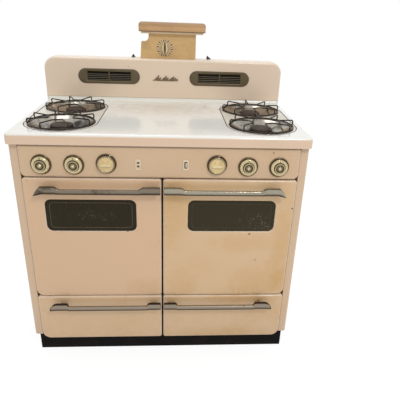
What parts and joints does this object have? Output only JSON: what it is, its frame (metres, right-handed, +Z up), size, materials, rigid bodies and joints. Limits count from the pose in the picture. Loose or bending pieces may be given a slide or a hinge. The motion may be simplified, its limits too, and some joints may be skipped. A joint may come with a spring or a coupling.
{
  "type": "old gas range",
  "caption": "Freestanding enamelled gas range with drop-down oven doors, drawers beneath, wire grates, a backguard with vents and a lamp and timer console",
  "frame": {"origin": "on the floor, below the middle of the whole range's bounding box", "axes": "+Z up, front with doors and knobs towards -Y, +X to the right seen from the front"},
  "size_m": [1.016, 0.682, 1.246],
  "materials": {
    "enamel_front": "glossy enamel, yellowed and stained",
    "enamel_side": "glossy enamel, yellowed",
    "enamel_top": "glossy white enamel, worn",
    "enamel_guard": "glossy enamel, yellowed",
    "enamel_tray": "glossy enamel, stained",
    "enamel_oven": "dark speckled enamel",
    "base_black": "black enamel, dull",
    "bare_steel": "dull galvanised steel with rust",
    "dark_steel": "dark painted steel",
    "chrome_pitted": "chrome, pitted and worn",
    "chrome_knob": "chrome, yellowed",
    "bowl_metal": "polished, burnt",
    "grate_wire": "burnt wire, lightly rusted",
    "burner_iron": "burnt cast iron",
    "gas_brass": "dull brass",
    "dial_ivory": "aged ivory",
    "plate_ivory": "aged ivory",
    "window_glass": "dark oven glass",
    "vent_brown": "grey-brown metallic paint",
    "console_tan": "yellowed enamel",
    "hood_tan": "yellowed enamel",
    "lens_cream": "aged cream lens",
    "tube_glass": "white lamp tube"
  },
  "bodies": {
    "chassis": {"toe_base": "base_black", "side_panel_left": "enamel_side", "side_panel_right": "enamel_side", "back_panel": "bare_steel", "front_frame": "dark_steel", "cooktop": "enamel_top", "backguard": "enamel_guard", "backguard_cover": "bare_steel", "vent_grilles": "vent_brown", "ornament_bar": "chrome_pitted", "burner_trays": "enamel_tray", "drip_bowls": "bowl_metal", "grate_front_left": "grate_wire", "grate_back_left": "grate_wire", "grate_front_right": "grate_wire", "grate_back_right": "grate_wire", "burners": "burner_iron", "gas_manifold": "dark_steel", "burner_valves": "gas_brass", "oven_valves": "gas_brass", "oven_burners": "burner_iron", "control_panel": "enamel_front", "knob_bezels": "chrome_pitted", "outlet_plate": "plate_ivory", "switch_plate": "plate_ivory", "flue_ducts": "bare_steel", "lamp_column": "console_tan", "lamp_hood": "hood_tan", "lamp_tube": "tube_glass", "lamp_lens": "lens_cream", "console_bracket": "dark_steel", "timer_dial": "dial_ivory", "oven_liner_left": "enamel_oven", "oven_liner_right": "enamel_oven", "oven_racks": "bare_steel", "oven_floors": "enamel_oven", "drawer_rails": "bare_steel", "door_hinges": "dark_steel"},
    "knob_1": {"burner_knob_1": "chrome_knob"},
    "knob_2": {"burner_knob_2": "chrome_knob"},
    "knob_3": {"burner_knob_3": "chrome_knob"},
    "knob_4": {"burner_knob_4": "chrome_knob"},
    "dial_left": {"oven_dial_left": "dial_ivory"},
    "dial_right": {"oven_dial_right": "dial_ivory"},
    "timer_turn": {"timer_knob": "dial_ivory"},
    "rocker": {"switch_rocker": "plate_ivory"},
    "door_left": {"door_skin_left": "enamel_front", "door_liner_left": "enamel_oven", "door_glass_left": "window_glass", "door_handle_left": "chrome_pitted"},
    "drawer_left": {"drawer_front_left": "enamel_front", "drawer_box_left": "bare_steel", "drawer_handle_left": "chrome_pitted"},
    "door_right": {"door_skin_right": "enamel_front", "door_liner_right": "enamel_oven", "door_glass_right": "window_glass", "door_handle_right": "chrome_pitted"},
    "drawer_right": {"drawer_front_right": "enamel_front", "drawer_box_right": "bare_steel", "drawer_handle_right": "chrome_pitted"}
  },
  "joints": [
    {"name": "knob_1_turn", "type": "hinge", "parent": "chassis", "child": "knob_1", "pos_m": [-0.4, -0.313, 0.818], "axis": [0, -1, 0], "range_deg": [0, 110]},
    {"name": "knob_2_turn", "type": "hinge", "parent": "chassis", "child": "knob_2", "pos_m": [-0.293, -0.313, 0.818], "axis": [0, -1, 0], "range_deg": [0, 110]},
    {"name": "knob_3_turn", "type": "hinge", "parent": "chassis", "child": "knob_3", "pos_m": [0.293, -0.313, 0.818], "axis": [0, -1, 0], "range_deg": [0, 110]},
    {"name": "knob_4_turn", "type": "hinge", "parent": "chassis", "child": "knob_4", "pos_m": [0.4, -0.313, 0.818], "axis": [0, -1, 0], "range_deg": [0, 110]},
    {"name": "dial_left_turn", "type": "hinge", "parent": "chassis", "child": "dial_left", "pos_m": [-0.186, -0.313, 0.823], "axis": [0, 1, 0], "range_deg": [0, 290]},
    {"name": "dial_right_turn", "type": "hinge", "parent": "chassis", "child": "dial_right", "pos_m": [0.186, -0.313, 0.823], "axis": [0, 1, 0], "range_deg": [0, 290]},
    {"name": "timer_knob_turn", "type": "hinge", "parent": "chassis", "child": "timer_turn", "pos_m": [0, 0.272, 1.145], "axis": [0, 1, 0], "range_deg": [0, 330]},
    {"name": "rocker_tilt", "type": "hinge", "parent": "chassis", "child": "rocker", "pos_m": [0.08, -0.3, 0.821], "axis": [1, 0, 0], "range_deg": [-12, 0]},
    {"name": "door_left_drop", "type": "hinge", "parent": "chassis", "child": "door_left", "pos_m": [0, -0.296, 0.303], "axis": [1, 0, 0], "range_deg": [0, 88]},
    {"name": "drawer_left_slide", "type": "slide", "parent": "chassis", "child": "drawer_left", "axis": [0, -1, 0], "range_m": [0, 0.36]},
    {"name": "door_right_drop", "type": "hinge", "parent": "chassis", "child": "door_right", "pos_m": [0, -0.296, 0.303], "axis": [1, 0, 0], "range_deg": [0, 88]},
    {"name": "drawer_right_slide", "type": "slide", "parent": "chassis", "child": "drawer_right", "axis": [0, -1, 0], "range_m": [0, 0.36]}
  ]
}
